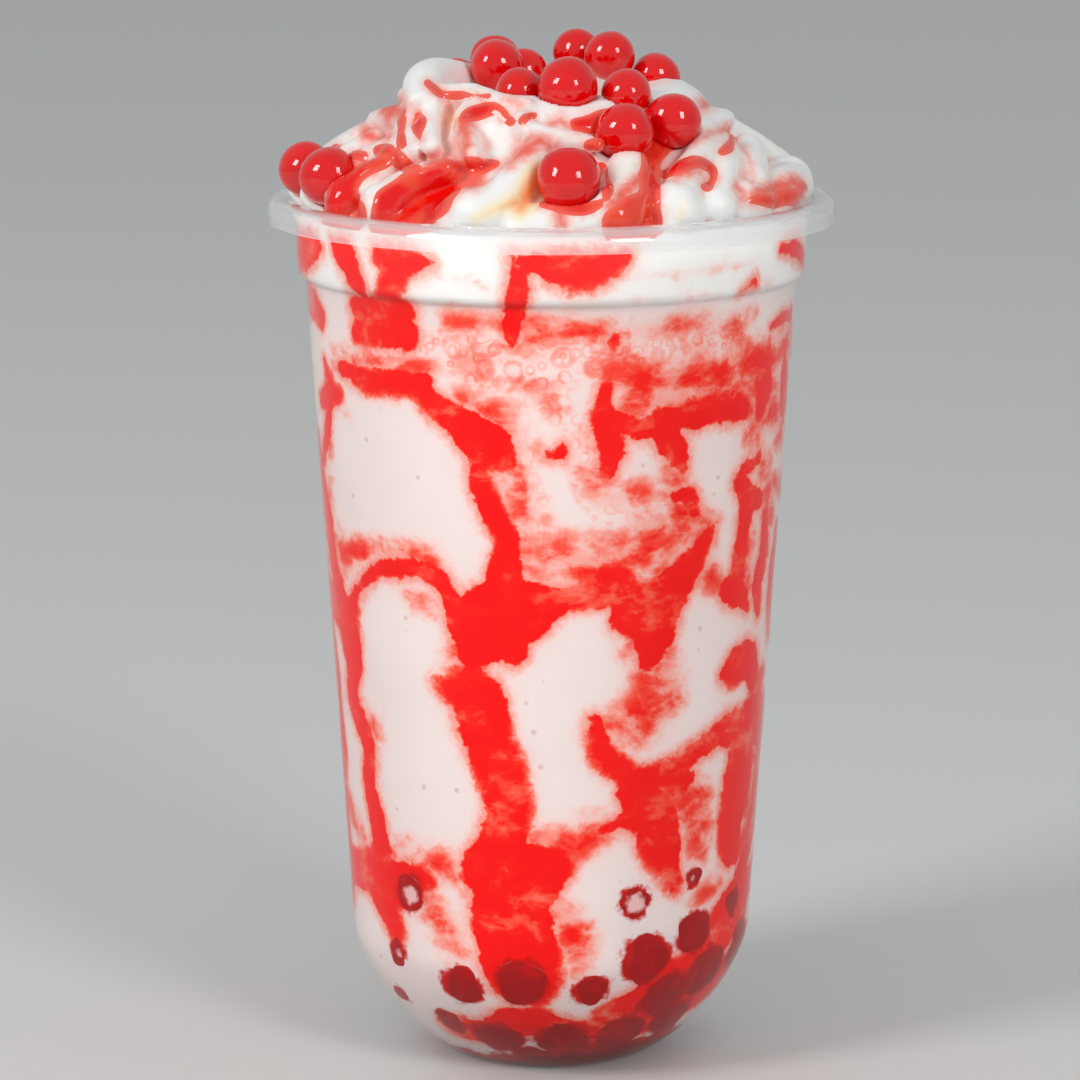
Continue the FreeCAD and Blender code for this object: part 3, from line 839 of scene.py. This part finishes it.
def sunk_field(co):
    """How far inside the dark syrup round the sunk pearls each point lies, in mm."""
    best = np.full(len(co), OUTSIDE)
    for degrees, height, shown, _ in sunk_pearls():
        away = np.linalg.norm(co - np.array(on_wall(degrees, height)), axis=1)
        best = np.maximum(best, (shown + (0.1 if shown < 3 else 0.5)) - away)
    turn = np.arctan2(co[:, 0], -co[:, 1])
    level = np.maximum(5.4 + 2.4 * np.sin(turn - 0.2) + 1.0 * np.sin(3 * turn + 1), 3.2)
    return np.maximum(best, level - co[:, 2])


# How far from the axis the outside of the cream stands, as (mm up, mm out).
DOME = np.array([(136.0, 39.9), (138.6, 40.3), (141.5, 40.9), (144.0, 38.0), (147.0, 34.4), (149.5, 30.8),
                 (152.5, 26.8), (156.0, 22.6), (159.0, 16.0)])


def dome_radius(height):
    return float(np.interp(height, DOME[:, 0], DOME[:, 1]))


def around(degrees, reach, height):
    """A point at an angle round from the front, a distance from the axis and a height, in mm."""
    turn = math.radians(degrees - 90)
    return Vector((reach * math.cos(turn), reach * math.sin(turn), height))


def under_dome(degrees, height, depth):
    """A point a depth under the dome's outside, square to it."""
    slope = (dome_radius(height + 1) - dome_radius(height - 1)) / 2
    length = math.hypot(1, slope)
    return around(degrees, dome_radius(height) - depth / length, height + depth * slope / length)


# Places on the front of the cream are named on a plain cone, as (mm up, mm out), and then thrown
# back on to the real cream along a line of sight that looks down by SIGHT radians.
CONE = np.array([(137.8, 38.2), (140.0, 39.5), (142.0, 38.8), (144.4, 35.8), (147.2, 31.6), (149.2, 28.0),
                 (151.2, 26.0), (153.6, 23.2), (155.6, 18.6), (156.6, 10.2)])
SIGHT = 0.19


def front_view(degrees, height):
    """How far across and up a named place is seen, in mm, square to the line of sight."""
    reach = np.interp(height, CONE[:, 0], CONE[:, 1])
    turn = np.radians(degrees)
    return reach * np.sin(turn), height * math.cos(SIGHT) - reach * np.cos(turn) * math.sin(SIGHT)


def on_dome(degrees, height):
    """The angle and height at which a named place meets the dome."""
    across, up = front_view(degrees, height)
    for _ in range(8):
        reach = dome_radius(height)
        deep = math.sqrt(max(reach ** 2 - across ** 2, 0))
        height = (up + deep * math.sin(SIGHT)) / math.cos(SIGHT)
    return math.degrees(math.atan2(across, deep)), height


# Ridges of the piped ring, from foot to tip: (degrees round, mm up, radius in mm).
FRONT_RIDGES = [
    [(-80, 138, 3.0), (-76, 141, 3.4), (-70, 144.5, 3.4), (-63, 147.5, 3.2), (-56, 150, 2.6)],
    [(-63, 137.6, 3.0), (-60, 140.5, 3.2), (-57, 143.5, 2.9), (-54, 146.2, 2.4), (-56, 148.6, 2.0),
     (-64, 151.4, 1.8)],
    [(-47, 137.2, 3.2), (-45.5, 140.5, 3.2), (-43, 143.4, 2.9), (-38, 145.6, 2.4), (-31, 146.8, 1.8)],
    [(-26, 137.2, 3.6), (-20, 139.8, 3.6), (-14.5, 143, 3.5), (-9.5, 146.2, 3.3), (-5.5, 149.2, 2.8),
     (-5, 151.8, 2.0)],
    [(-10, 136.6, 3.4), (-2, 137.6, 3.6), (6, 138.4, 3.6)],
    [(7, 137.8, 3.2), (12, 140.2, 3.5), (17, 143, 3.9), (21, 146, 4.0), (24, 148, 3.2)],
    [(31, 137.2, 4.0), (31.5, 140.5, 3.9), (34, 143.6, 3.2), (41, 146.4, 2.4), (52, 148.2, 2.3),
     (68, 150.4, 2.4)],
    [(41, 138, 2.8), (43, 141.2, 2.8), (48, 144.2, 2.6), (57, 146.6, 2.4), (70, 148.6, 2.2)],
    [(50, 137.6, 3.0), (53, 140.2, 3.0), (60, 143, 3.2), (68, 145.6, 3.2), (82, 147.8, 3.0)],
    [(66, 137.2, 3.2), (74, 139.2, 3.4), (84, 142, 3.6)],
]
BACK_START = 84              # where the far side's ridges start, in degrees
BACK_END = 276


def back_ridges(rng):
    """The ridges of the piped ring's far side, as uneven as those in front."""
    rows = []
    foot = BACK_START
    while foot < BACK_END:
        lean = 28 + rng.uniform(-5, 8)
        thick = 3.7 + rng.uniform(-0.5, 0.6)
        rise = rng.uniform(0.9, 1.12)
        rows.append([(foot + lean * share, 137.2 + 12.6 * rise * share ** 0.9, thick * size)
                     for share, size in ((0, 0.85), (0.2, 1), (0.45, 1.02), (0.7, 0.92), (1, 0.6))])
        foot += RIDGE_SPACING * rng.uniform(0.75, 1.2)
    return rows


def rope(name, points, radii):
    """A tapered rope through points in mm, as a mesh."""
    clear_selection()
    data = bpy.data.curves.new(name, "CURVE")
    data.dimensions = "3D"
    data.resolution_u = 8
    data.bevel_depth = MM
    data.bevel_resolution = 6
    data.use_fill_caps = True
    spline = data.splines.new("NURBS")
    spline.points.add(len(points) - 1)
    for point, place_at, radius in zip(spline.points, points, radii):
        point.co = (*(place_at * MM), 1)
        point.radius = radius
    spline.order_u = 3
    spline.use_endpoint_u = True
    obj = bpy.data.objects.new(name, data)
    bpy.context.scene.collection.objects.link(obj)
    choose(obj)
    bpy.ops.object.convert(target="MESH")
    obj = bpy.context.object
    tip = ball(name + "_tip", points[-1], radii[-1], 16)
    return join(name, [obj, tip])


def ball(name, centre, radius, segments=24):
    clear_selection()
    bpy.ops.mesh.primitive_uv_sphere_add(segments=segments, ring_count=segments // 2, radius=radius * MM,
                                         location=centre * MM)
    obj = bpy.context.object
    obj.name = name
    place(obj)
    return obj


def ridge(row, swell=1.0):
    """One piped ridge whose outside stands just proud of the dome."""
    fine = curve_through(row, 4)
    sizes = fine[:, 2] * swell
    points = [under_dome(place[0], place[1], size - RIDGE_PROUD) for place, size in zip(fine, sizes)]
    return rope("ridge", points, sizes)


def front_ridge(row, swell=1.0):
    return ridge([(*on_dome(degrees, height), size) for degrees, height, size in row], swell)


RIDGE_PROUD = 0.6            # how far a ridge stands out of the dome
RIDGE_SPACING = 15
GROOVE = 5.2                 # how deep the grooves between the ridges are
HEAP_TOP = 154.5             # the cream under the heap of pearls
PLUG_RADIUS = 39.9           # the plug in the collar, before it is pressed against the wall
PLUG_TOP = 137.5


def cream_body():
    """The plug in the collar and the core of the dome, turned under the ridges."""
    low = CREAM_FOOT - 0.4
    outline = [(0, low), (PLUG_RADIUS, low), (PLUG_RADIUS, PLUG_TOP)]
    outline += [(reach - GROOVE, height) for height, reach in DOME[2:7]]
    outline += [(19, HEAP_TOP - 0.4), (10, HEAP_TOP), (0, HEAP_TOP)]
    clear_selection()
    bpy.ops.mesh.primitive_plane_add(size=MM)
    obj = bpy.context.object
    obj.name = "cream_body"
    bpy.ops.object.mode_set(mode="EDIT")
    bpy.ops.mesh.delete(type="VERT")
    mesh = bmesh.from_edit_mesh(obj.data)
    corners = [mesh.verts.new((reach * MM, 0, height * MM)) for reach, height in outline]
    for start, end in zip(corners, corners[1:]):
        mesh.edges.new((start, end))
    bmesh.update_edit_mesh(obj.data)
    spin_round(CREAM_STEPS)
    return obj


COIL_POINTS = 31


def upper_coil():
    """The top turn of the piping: it climbs a little and ends in the tail at the left."""
    points, radii = [], []
    for share in np.linspace(0, 1, COIL_POINTS):
        points.append(around(-40 + 330 * share, 18.6 - 1.0 * share, 149.0 + 0.8 * share))
        radii.append(7.6 - 0.4 * math.sin(9 * share))
    return rope("upper_coil", points, radii)


# Soft pleats on the upper turn, named as the front ridges are.
PLEATS = [
    [(-88, 151.5, 2.2), (-74, 152.6, 2.2), (-62, 150.8, 2.2), (-52, 148.8, 2.0), (-46, 147.4, 1.4)],
    [(-84, 155.6, 1.6), (-64, 155.9, 1.9), (-44, 155.9, 2.0), (-26, 155.6, 1.8), (-12, 155.2, 1.4)],
    [(-58, 154, 1.6), (-50, 151.6, 1.9), (-42, 149.2, 1.6)],
    [(-36, 153, 1.6), (-30, 151, 1.9), (-25, 148.6, 1.6)],
    [(-13, 154, 1.4), (-9, 152.4, 1.7), (-2, 151.6, 1.8), (8, 150.8, 1.6), (15, 149.8, 1.2)],
    [(52, 149.8, 1.8), (62, 151.2, 2.2), (74, 152, 2.2), (88, 151.8, 2.0)],
]
# The tail of the upper turn: (degrees round, mm out, mm up, radius in mm).
TAIL = [(-52, 25, 153.6, 3.0), (-66, 22, 156.2, 3.6), (-80, 19.5, 157.2, 3.6), (-96, 17, 157, 3.4),
        (-116, 14, 155.8, 3.0)]


def make_cream(wall_group):
    rng = random.Random(5)
    parts = [cream_body(), upper_coil()]
    parts += [front_ridge(row, 1.05) for row in FRONT_RIDGES]
    parts += [ridge(row, 1.05) for row in back_ridges(rng)]
    parts += [front_ridge(row) for row in PLEATS]
    parts.append(rope("tail", [around(*row[:3]) for row in TAIL], [row[3] for row in TAIL]))
    obj = join("whipped_cream", parts)
    add_modifier(obj, "REMESH", mode="VOXEL", voxel_size=CREAM_VOXEL * MM, adaptivity=0.0)
    add_modifier(obj, "SMOOTH", factor=0.5, iterations=CREAM_SMOOTHING)
    fit_to_cup(obj)
    press_pearls(obj)
    smooth(obj)
    paint_wall(obj)
    co = get_points(obj.data)
    back, back_stains = back_sauce(random.Random(8))
    set_attribute(obj.data, "sauce", sauce_field(co, SAUCE, back))
    set_attribute(obj.data, "stain", sauce_field(co, SAUCE + STAINS, back + back_stains))
    # The painted glow in the shadowed grooves, kept in the warm attribute.
    set_attribute(obj.data, "warm", sauce_field(co, PAINTED_GLOW, []))
    set_attribute(obj.data, "groove", hollows(obj.data))
    finish_piece(obj, cream_material(wall_group), "cream", "cream")
    return obj


def hollows(mesh):
    """How far each point lies below its smoothed surroundings, in mm: more than zero in grooves."""
    co = get_points(mesh)
    ends = np.empty(len(mesh.edges) * 2, dtype=np.int64)
    mesh.edges.foreach_get("vertices", ends)
    ends = ends.reshape(-1, 2)
    here, there = np.concatenate((ends[:, 0], ends[:, 1])), np.concatenate((ends[:, 1], ends[:, 0]))
    shared = np.maximum(np.bincount(here, minlength=len(co)), 1)
    eased = co.copy()
    for _ in range(GROOVE_PASSES):
        for axis in range(3):
            eased[:, axis] = np.bincount(here, eased[there, axis], minlength=len(co)) / shared
    return ((eased - co) * read_vectors(mesh, "normal")).sum(axis=1)


GROOVE_PASSES = 26           # how widely the surroundings are taken
POCKET_FLARE = 2.4           # how steeply the cream opens round a pearl
POCKET_REACH = 1.6           # how far round a pearl it opens, in pearl radii
SWIRL_MIDDLE = 118           # the height that the pearls are pressed towards, in mm


def press_pearls(obj):
    """Press each pearl's pocket into the cream, open to the outside from the pearl's middle up."""
    co = get_points(obj.data)
    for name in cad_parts:
        if name.startswith("pearl_"):
            low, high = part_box(name)
            centre = np.array((low + high) / 2) / MM
            radius = (high.z - low.z) / 2 / MM
            outward = centre - np.array((0, 0, SWIRL_MIDDLE))
            outward /= np.linalg.norm(outward)
            away = co - centre
            along = away @ outward
            aside = np.linalg.norm(away - along[:, None] * outward, axis=1)
            pocket = -np.sqrt(np.maximum(radius ** 2 - aside ** 2, 0))
            limit = np.where(aside < radius, pocket, (aside - radius) * POCKET_FLARE)
            pressed = (aside < POCKET_REACH * radius) & (along > limit) & (along > -radius)
            co[pressed] -= (along - limit)[pressed, None] * outward
    set_points(obj.data, co)


WALL_GAP = 1.3               # cream nearer the wall than this is pressed against it
PRESSED_TO = CREST - 1.6     # how high it is pressed against the wall, in mm up
OPEN_FROM = CREST - 1.4      # from here up it may lean out over the brim
BRIM_FLARE = 0.8             # how far out it may lean, for each mm up


def fit_to_cup(obj):
    """Press the cream against the inside of the wall, up to the brim, and keep it off the rim."""
    co = get_points(obj.data)
    reach = np.hypot(co[:, 0], co[:, 1])
    limit = wall_radius(co[:, 2]) + INTO_WALL
    limit = limit + np.clip(co[:, 2] - OPEN_FROM, 0, None) * BRIM_FLARE
    plugged = co[:, 2] < PRESSED_TO
    wanted = np.where(plugged & (reach > limit - WALL_GAP), limit, np.minimum(reach, limit))
    co[:, :2] *= (wanted / np.maximum(reach, 0.001))[:, None]
    co[:, 2] = np.maximum(co[:, 2], CREAM_FOOT - 0.1)
    set_points(obj.data, co)


# Sauce on the front of the cream, named as the ridges are: (degrees round, mm up, half width in mm).
SAUCE = [
    # the left shoulder
    [(-55.5, 138.3, 3.2), (-55.5, 140.6, 2.5), (-57, 143, 1.7), (-54.5, 145.2, 1.0), (-50, 146.4, 0.7)],
    [(-48.5, 147, 1.0), (-46, 146.7, 1.2), (-42, 146.3, 0.8), (-37, 145.9, 0.3)],
    [(-58.5, 147.3, 0.8), (-56, 147.4, 1.0), (-52, 147.3, 0.6)],
    [(-69, 146.2, 0.5), (-62, 146.4, 0.8)],
    [(-90, 145.6, 0.8), (-83, 145.5, 0.5)],
    # the wide pool left of the middle, and the band over it
    [(-36.5, 138.4, 4.0), (-35, 140.4, 4.4), (-31, 142.4, 4.2), (-28.5, 144, 3.4)],
    [(-31.5, 146.4, 0.8), (-26, 146.7, 1.1), (-20, 146.9, 1.0), (-15.5, 147.2, 0.5)],
    # on the upper turn
    [(-34, 152.9, 0.8), (-31, 153.8, 1.1), (-25, 154.3, 0.8), (-19.5, 153.9, 0.8), (-15.5, 152.9, 0.4)],
    [(-69, 152.5, 0.3), (-64, 151.5, 0.45), (-57.5, 149.6, 0.45), (-51, 148.4, 0.3)],
    [(-57.5, 152.5, 0.6), (-54, 151.8, 0.8), (-50, 150.5, 0.6), (-46.5, 149.4, 0.25)],
    [(-88, 155.3, 0.4), (-74, 155.4, 0.65), (-60, 155.3, 0.6), (-46, 155.5, 0.35), (-32, 155.6, 0.2)],
    [(-10.5, 152.9, 0.3), (-9.3, 153.4, 0.4), (-7, 153.6, 0.25)],
    # round the pearl in front
    [(12.4, 142.6, 0.4), (13.8, 145, 0.5), (13.4, 147, 0.4)],
    [(-2, 141.9, 0.4), (2, 141.2, 0.6), (7, 141.3, 0.6), (11, 142, 0.4)],
    # the pool right of the middle, up to the heap
    [(17.5, 138.2, 3.9), (19.2, 139.8, 3.3), (21.2, 141.6, 2.3), (23.4, 143.4, 1.5), (26, 145.6, 1.3),
     (28.5, 147.2, 1.5), (33, 148.6, 1.8)],
    [(12, 149.6, 0.9), (20, 149.9, 1.3), (30, 149.8, 1.6), (42, 149.8, 1.3), (50, 150.6, 0.7)],
    [(9, 152.6, 0.8), (20, 152.8, 1.6), (36, 152.8, 1.6), (54, 153, 1.2), (68, 153.4, 0.6)],
    # the right shoulder
    [(31, 145.7, 0.5), (36, 146.2, 0.9), (42, 146.3, 0.8), (45.5, 145.6, 0.6), (43.5, 144.4, 0.55),
     (39.5, 143.5, 0.45)],
    [(56, 147.2, 0.3), (64, 147.8, 0.55), (72, 148.4, 0.55), (86, 149.2, 0.4)],
    [(51, 140.7, 0.6), (58, 140.2, 1.0), (66, 139.9, 1.1), (76, 139.5, 0.8), (84, 139, 0.4)],
    [(78, 140.6, 0.3), (83, 139.9, 0.35), (89, 139.4, 0.35)],
]
STAINS = [
    [(-32, 152.2, 1.5), (-29.5, 150.2, 1.2), (-25.5, 147.9, 0.8)],
    [(-29, 145.5, 3.6), (-21, 145.4, 2.4)],
    [(-90, 152, 2.2), (-80, 152, 1.7), (-72, 152.6, 0.8)],
    [(-88, 148.6, 1.3), (-74, 148.5, 1.0), (-62, 149, 0.6)],
    [(-66, 145.2, 0.8), (-58, 145.6, 1.2), (-52, 145, 1.0)],
    [(-21, 155.3, 0.6), (-13, 154.8, 0.5)],
    [(-12, 147.2, 0.8), (-8, 149, 1.4), (-4, 150, 1.3), (0, 149.4, 0.8)],
    [(0, 152.6, 0.7), (4, 153, 0.7), (8, 151.4, 0.5)],
    [(14, 141.6, 1.8), (18.5, 143.8, 1.3), (24, 145.6, 0.8)],
    [(34, 145.3, 1.0), (40, 145.6, 0.9)],
    [(49, 141, 0.8), (48.6, 143, 0.6)],
    [(53, 141.6, 1.0), (62, 141.9, 1.4), (72, 141.7, 1.5), (79, 140.9, 1.0)],
    [(50, 148.9, 0.3), (64, 149.5, 0.4), (80, 149.4, 0.4)],
    [(70, 147.2, 0.1), (62, 145.2, 0.1), (55, 143, 0.1)],
    [(1.5, 140.8, 1.2), (2, 139.4, 1.0)],
    [(72, 152.8, 0.6), (90, 152.8, 1.2)],
]
# Painted glow: yellow to orange light painted into the cream's shadowed grooves.
PAINTED_GLOW = [
    [(-7, 141.4, 0.8), (-5.5, 143.6, 1.2), (-4, 146.4, 0.7)],
    [(-17, 139.6, -0.4), (-12, 141.4, 0.0), (-8, 142.2, 0.8)],
    [(-40, 152.8, 0.2), (-37, 152.6, 0.3)],
    [(31, 141.4, -0.9), (29.5, 139.6, -0.7)],
]
BACK_RUNS = 8                # runs of sauce down the far side
SAUCE_THICK = 0.3
SAUCE_ROOT = 0.6             # how deep the sauce reaches into the cream, so that no gap shows
SAUCE_SPREAD = 0.25          # how much wider every run lies than its middle line says
SAUCE_WANDER = 0.35          # how far the edges of the runs wander
SAUCE_EASE = 0.9             # how far in from the edge a run reaches its full thickness, and out, ends


def side_field(co, rows):
    """How far inside the nearest run of sauce the points that face the front lie, in mm."""
    best = np.full(len(co), OUTSIDE)
    across = co[:, 0]
    up = co[:, 2] * math.cos(SIGHT) + co[:, 1] * math.sin(SIGHT)
    facing = np.where((co[:, 1] < 3) & (co[:, 2] > CREST - 2.4))[0]
    across, up = across[facing], up[facing]
    for row in rows:
        line = curve_through(row)
        seen_across, seen_up = front_view(line[:, 0], line[:, 1])
        run = list(zip(seen_across, seen_up, line[:, 2]))
        for (ax, ay, wide), (bx, by, narrow) in zip(run, run[1:]):
            length = max((bx - ax) ** 2 + (by - ay) ** 2, 1e-9)
            share = np.clip(((across - ax) * (bx - ax) + (up - ay) * (by - ay)) / length, 0, 1)
            away = np.hypot(across - ax - share * (bx - ax), up - ay - share * (by - ay))
            best[facing] = np.maximum(best[facing], wide + (narrow - wide) * share - away)
    return best


def sauce_field(co, front, back):
    """The same for both sides: the far side is run over from behind."""
    return np.maximum(side_field(co, front), side_field(co * np.array((-1, -1, 1)), back))


def back_sauce(rng):
    """Runs of sauce and stains over the cream's far side, named from behind."""
    rows, stains = [], []
    for k in range(BACK_RUNS):
        foot = -78 + 156 * (k + 0.5) / BACK_RUNS + rng.uniform(-6, 6)
        top = rng.uniform(145, 150)
        low = rng.uniform(138, 141)
        wide = rng.uniform(0.8, 2.6)
        rows.append([(foot, low, wide), (foot + 5, (low + top) / 2, wide * 0.8), (foot + 12, top, 0.4)])
        stains.append([(foot + 10, top, 0.9), (foot + 16, top + 2.4, 0.7)])
        if rng.random() < 0.6:
            rows.append([(foot - 8, top + 2, 0.4), (foot + 4, top + 3.4, 0.8), (foot + 14, top + 3, 0.4)])
    return rows, stains


def make_sauce(cream):
    """A thin coat over the cream, thick in the middle of each run and thinned out at its edges."""
    clear_selection()
    obj = cream.copy()
    obj.data = cream.data.copy()
    obj.name = obj.data.name = "strawberry_sauce"
    for key in list(obj.keys()):
        del obj[key]
    bpy.context.scene.collection.objects.link(obj)
    co = get_points(obj.data)
    field = np.empty(len(co), dtype=np.float32)
    obj.data.attributes["sauce"].data.foreach_get("value", field)
    field = field + SAUCE_SPREAD
    across_waves = np.sin(co[:, 0] * 0.62 + co[:, 2] * 0.3)
    up_waves = np.sin(co[:, 1] * 0.55 + co[:, 2] * 0.7)
    field += SAUCE_WANDER * across_waves * up_waves
    set_attribute(obj.data, "depth", field)
    normals = read_vectors(obj.data, "normal")
    thick = SAUCE_THICK * np.tanh(field / SAUCE_EASE)
    kept = field >= -SAUCE_EASE
    mesh = bmesh.new()
    mesh.from_mesh(obj.data)
    bmesh.ops.delete(mesh, geom=[vert for vert, keep in zip(mesh.verts, kept) if not keep], context="VERTS")
    mesh.to_mesh(obj.data)
    mesh.free()
    set_points(obj.data, (co + normals * thick[:, None])[kept])
    choose(obj)
    add_modifier(obj, "SOLIDIFY", thickness=SAUCE_ROOT * MM, offset=-1.0)
    smooth(obj)
    finish_piece(obj, sauce_material(), "pearl")
    return obj


PEARL_UNEVEN = 0.05          # how much of its radius a dent takes from a pearl


def make_pearls(material):
    rng = random.Random(3)
    for name in sorted(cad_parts):
        if not name.startswith("pearl_"):
            continue
        low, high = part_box(name)
        centre, radius = (low + high) / 2, (high.z - low.z) / 2
        clear_selection()
        bpy.ops.mesh.primitive_ico_sphere_add(subdivisions=5, radius=radius, location=centre)
        obj = bpy.context.object
        obj.name = "top_" + name
        obj.data.name = obj.name
        place(obj)
        co = get_points(obj.data)
        away = co - np.array(centre) / MM
        phase = rng.uniform(0, 6)
        dents = 2 + np.sin(away[:, 0] * 0.9 + phase) + np.sin(away[:, 1] * 0.8 + away[:, 2] * 0.7 + 2 * phase)
        co -= away * (PEARL_UNEVEN * dents / 4)[:, None]
        set_points(obj.data, co)
        smooth(obj)
        finish_piece(obj, material, "pearl", name)


# ---------------------------------------------------------------- stage

FLOOR_SIZE = 6
SKY_COLOUR = (0.9, 0.93, 0.95, 1)
SKY_STRENGTH = 0.48
# Soft lamps: name, place and size in metres, power in watts.
LAMPS = (
    ("window_left", (-0.9, -0.65, 0.8), (0.34, 0.5), 6.2),
    ("window_right", (0.6, -0.9, 0.65), (0.3, 0.45), 4.0),
)
LAMP_AIM = (0, 0, 0.1)
SENSOR = 36
LENS = 169.5
EYE = (-0.00181, -0.8, 0.237)


def make_stage():
    clear_selection()
    bpy.ops.mesh.primitive_plane_add(size=FLOOR_SIZE, location=(0, 0, 0))
    floor = bpy.context.object
    floor.name = "floor"
    material, _, shader = new_material("pale_floor")
    set_shader(shader, Roughness=0.6, Base_Color=srgb(226, 226, 224))
    floor.data.materials.append(material)
    world = bpy.data.worlds.new("studio")
    bpy.context.scene.world = world
    world.use_nodes = True
    background = world.node_tree.nodes["Background"]
    background.inputs["Color"].default_value = SKY_COLOUR
    background.inputs["Strength"].default_value = SKY_STRENGTH


def softbox(name, location, size, power):
    clear_selection()
    bpy.ops.object.light_add(type="AREA", location=location)
    lamp = bpy.context.object
    lamp.name = name
    lamp.data.shape = "RECTANGLE"
    lamp.data.size, lamp.data.size_y = size
    lamp.data.energy = power
    aim = Vector(LAMP_AIM) - Vector(location)
    lamp.rotation_euler = aim.to_track_quat("-Z", "Y").to_euler()


def make_lights():
    for lamp in LAMPS:
        softbox(*lamp)


def make_camera():
    """A long lens, a little above the rim, looking down by SIGHT."""
    data = bpy.data.cameras.new("camera")
    camera = bpy.data.objects.new("camera", data)
    bpy.context.scene.collection.objects.link(camera)
    data.sensor_width = SENSOR
    data.lens = LENS
    data.clip_start = 0.05
    camera.location = EYE
    camera.rotation_euler = (math.pi / 2 - SIGHT, 0, 0)
    bpy.context.scene.camera = camera


def set_view():
    bpy.context.scene.view_settings.view_transform = "Standard"


make_camera()
make_lights()
make_stage()
set_view()
WALL_GROUP = wall_colours()
make_cup()
make_drink(WALL_GROUP)
make_sunk_pearls()
make_sauce(make_cream(WALL_GROUP))
make_pearls(pearl_material())
